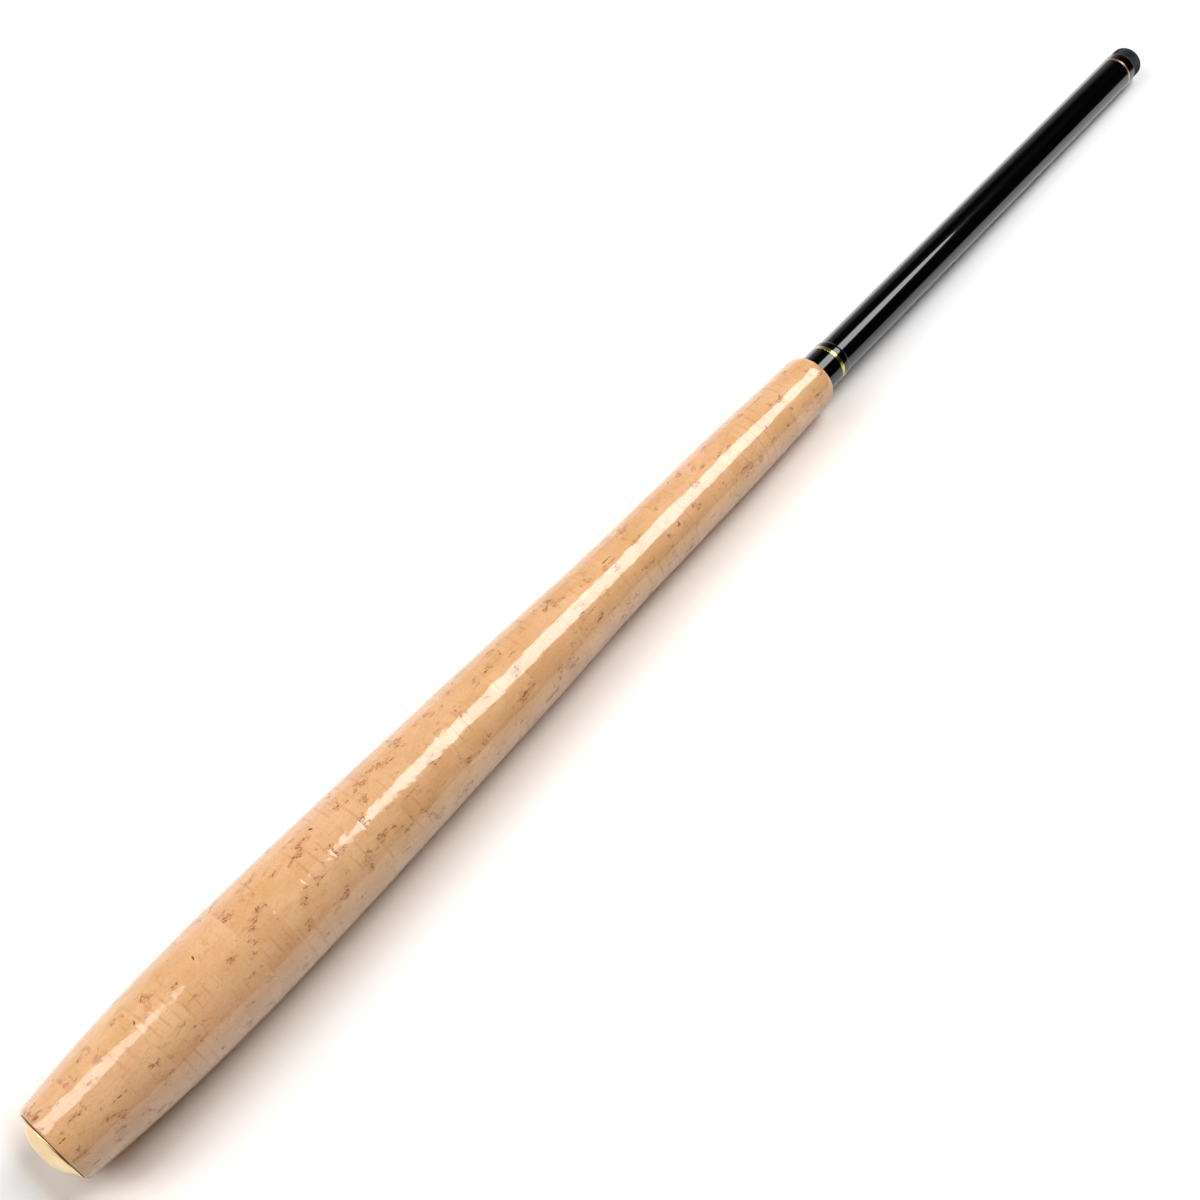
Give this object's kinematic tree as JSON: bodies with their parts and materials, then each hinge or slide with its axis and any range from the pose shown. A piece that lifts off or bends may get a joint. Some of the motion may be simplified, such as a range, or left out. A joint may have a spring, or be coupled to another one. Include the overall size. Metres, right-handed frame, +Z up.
{
  "type": "tenkara rod",
  "caption": "Telescopic fixed-line fishing rod, closed, with a turned cork grip, nested tapered tubes, a screw-in butt cap and a knurled tip plug.",
  "frame": {"origin": "centre of the flat on the butt cap, on the rod's axis", "axes": "+X along the rod's axis from the butt to the tip, +Z up with the rod lying on its side"},
  "size_m": [0.5321, 0.0312, 0.0312],
  "materials": {
    "cork": "turned cork under a clear glossy coat",
    "black_lacquer": "gloss black lacquer over carbon fibre",
    "copper_gold": "polished copper gold",
    "yellow_gold": "polished yellow gold",
    "pale_gold": "satin pale gold anodised",
    "bare_aluminium": "turned",
    "soft_rubber": "matt",
    "plug_plastic": "matt moulded, straight knurl"
  },
  "bodies": {
    "handle": {"handle_section": "black_lacquer", "mouth_band": "copper_gold", "winding_collar": "black_lacquer", "collar_band": "yellow_gold", "butt_bush": "bare_aluminium", "cork_ring_01": "cork", "cork_ring_02": "cork", "cork_ring_03": "cork", "cork_ring_04": "cork", "cork_ring_05": "cork", "cork_ring_06": "cork", "cork_ring_07": "cork", "cork_ring_08": "cork", "cork_ring_09": "cork", "cork_ring_10": "cork", "cork_ring_11": "cork", "cork_ring_12": "cork", "cork_ring_13": "cork", "cork_ring_14": "cork", "cork_ring_15": "cork", "cork_ring_16": "cork", "cork_ring_17": "cork", "cork_ring_18": "cork", "cork_ring_19": "cork", "cork_ring_20": "cork", "cork_ring_21": "cork", "cork_ring_22": "cork", "cork_ring_23": "cork", "cork_ring_24": "cork", "cork_ring_25": "cork", "cork_ring_26": "cork", "cork_ring_27": "cork", "cork_ring_28": "cork", "cork_ring_29": "cork", "cork_ring_30": "cork"},
    "cap_seal": {"seal_ring": "soft_rubber"},
    "cap": {"butt_cap": "pale_gold", "cap_pad": "soft_rubber"},
    "section_7": {"section_7": "black_lacquer"},
    "section_6": {"section_6": "black_lacquer"},
    "section_5": {"section_5": "black_lacquer"},
    "section_4": {"section_4": "black_lacquer"},
    "section_3": {"section_3": "black_lacquer"},
    "section_2": {"section_2": "black_lacquer"},
    "tip": {"tip_section": "black_lacquer"},
    "plug": {"tip_plug": "plug_plastic"}
  },
  "joints": [
    {"name": "cap_travel", "type": "slide", "parent": "handle", "child": "cap_seal", "axis": [-1, 0, 0], "range_m": [0, 0.0078]},
    {"name": "cap_turn", "type": "hinge", "parent": "cap_seal", "child": "cap", "pos_m": [0, 0, 0], "axis": [-1, 0, 0], "range_deg": [0, 2772]},
    {"name": "section_7_draw", "type": "slide", "parent": "handle", "child": "section_7", "axis": [1, 0, 0], "range_m": [0, 0.45587]},
    {"name": "section_6_draw", "type": "slide", "parent": "section_7", "child": "section_6", "axis": [1, 0, 0], "range_m": [0, 0.4458]},
    {"name": "section_5_draw", "type": "slide", "parent": "section_6", "child": "section_5", "axis": [1, 0, 0], "range_m": [0, 0.44995]},
    {"name": "section_4_draw", "type": "slide", "parent": "section_5", "child": "section_4", "axis": [1, 0, 0], "range_m": [0, 0.45465]},
    {"name": "section_3_draw", "type": "slide", "parent": "section_4", "child": "section_3", "axis": [1, 0, 0], "range_m": [0, 0.4588]},
    {"name": "section_2_draw", "type": "slide", "parent": "section_3", "child": "section_2", "axis": [1, 0, 0], "range_m": [0, 0.46185]},
    {"name": "tip_draw", "type": "slide", "parent": "section_2", "child": "tip", "axis": [1, 0, 0], "range_m": [0, 0.4671]},
    {"name": "plug_pull", "type": "slide", "parent": "tip", "child": "plug", "axis": [1, 0, 0], "range_m": [0, 0.03]}
  ],
  "couplings": [
    {"joint": "cap_travel", "follows": "cap_turn", "m_per_rad": 0.00015915}
  ]
}
